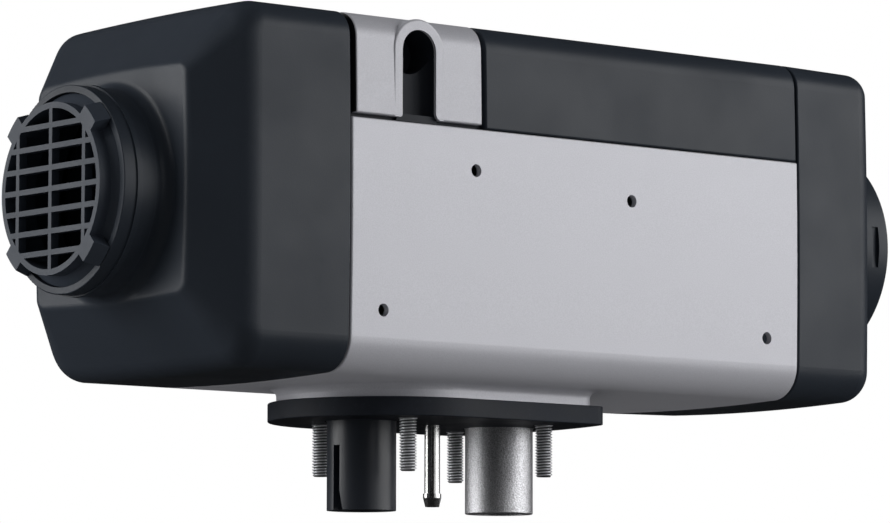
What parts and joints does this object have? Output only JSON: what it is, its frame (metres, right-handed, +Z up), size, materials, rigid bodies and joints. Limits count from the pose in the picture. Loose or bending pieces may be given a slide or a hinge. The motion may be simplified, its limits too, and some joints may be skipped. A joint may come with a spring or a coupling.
{
  "type": "diesel air heater",
  "caption": "Boxy fuel-burning air heater with a rounded casing, barred round air intake, round outlet, cable arch, and a flange below with studs, fuel, air and exhaust pipes.",
  "frame": {"origin": "middle of the four mounting studs, on the underside of the flange gasket, which is the surface the heater is bolted to", "axes": "+X along the fan axis and the air path, from the intake to the outlet; +Z up, away from the mounting surface; the side with the cable outlet faces -Y"},
  "size_m": [0.3453, 0.115, 0.1643],
  "materials": {
    "casing_silver": "fine satin silver paint",
    "casing_black": "satin moulded plastic",
    "frame_black": "matte moulded plastic",
    "grille_black": "satin moulded plastic",
    "gasket_rubber": "matte rubber",
    "soft_rubber": "matte rubber",
    "stub_plastic": "semi-gloss moulded plastic",
    "cast_aluminium": "rough as cast",
    "zinc_steel": "zinc plated",
    "bright_steel": "polished tube",
    "heat_steel": "heat-resistant sheet",
    "felt": "metal-fibre felt",
    "gasket_sheet": "fibre sheet",
    "ceramic_block": "moulded sensor body",
    "blower_plastic": "glass-filled plastic",
    "fan_plastic": "moulded plastic",
    "motor_steel": "zinc plated can",
    "stator_iron": "laminated iron",
    "copper_coil": "enamelled copper wire",
    "magnet_black": "sintered magnet",
    "bearing_steel": "ground steel",
    "board_green": "circuit board",
    "unit_plastic": "moulded plastic",
    "connector_plastic": "natural nylon"
  },
  "bodies": {
    "heater": {"lower_shell": "casing_silver", "intake_cap": "casing_black", "outlet_cap": "casing_black", "outlet_nozzle": "casing_black", "intake_nozzle": "casing_black", "exhaust_stub": "cast_aluminium", "cable_frame": "frame_black", "cable_grommet": "soft_rubber", "flange_gasket": "gasket_rubber", "mounting_studs": "zinc_steel", "combustion_air_stub": "stub_plastic", "fuel_pipe": "bright_steel", "fuel_pipe_bush": "soft_rubber", "heat_exchanger": "cast_aluminium", "flange_casting": "cast_aluminium", "flange_screws": "zinc_steel", "combustion_chamber": "heat_steel", "flame_tube": "heat_steel", "evaporator_mat": "felt", "burner_plate": "heat_steel", "burner_gasket": "gasket_sheet", "burner_screws": "zinc_steel", "glow_plug": "bearing_steel", "overheat_sensor": "ceramic_block", "sensor_clip": "zinc_steel", "blower_housing": "blower_plastic", "blower_plate": "blower_plastic", "motor_housing": "motor_steel", "motor_flange": "motor_steel", "motor_screws": "zinc_steel", "motor_bearings": "bearing_steel", "motor_stator": "stator_iron", "motor_coils": "copper_coil", "air_guide": "blower_plastic", "control_unit": "unit_plastic", "control_unit_lid": "unit_plastic", "control_unit_screws": "zinc_steel", "circuit_board": "board_green", "cable_connector": "connector_plastic"},
    "rotor": {"motor_shaft": "bearing_steel", "rotor_magnet": "magnet_black", "combustion_fan": "fan_plastic", "hot_air_fan": "fan_plastic", "fan_clip": "zinc_steel"},
    "grille": {"intake_grille": "grille_black"},
    "cable_hood": {"cable_cover": "casing_silver"},
    "service_hood": {"service_cover": "casing_black"}
  },
  "joints": [
    {"name": "rotor_spin", "type": "hinge", "parent": "heater", "child": "rotor", "pos_m": [0, 0, 0.0715], "axis": [1, 0, 0], "continuous": true},
    {"name": "grille_pull", "type": "slide", "parent": "heater", "child": "grille", "axis": [-1, 0, 0], "range_m": [0, 0.04]},
    {"name": "cable_cover_lift", "type": "slide", "parent": "heater", "child": "cable_hood", "axis": [0, 0, 1], "range_m": [0, 0.05]},
    {"name": "service_cover_lift", "type": "slide", "parent": "heater", "child": "service_hood", "axis": [0, 0, 1], "range_m": [0, 0.05]}
  ]
}
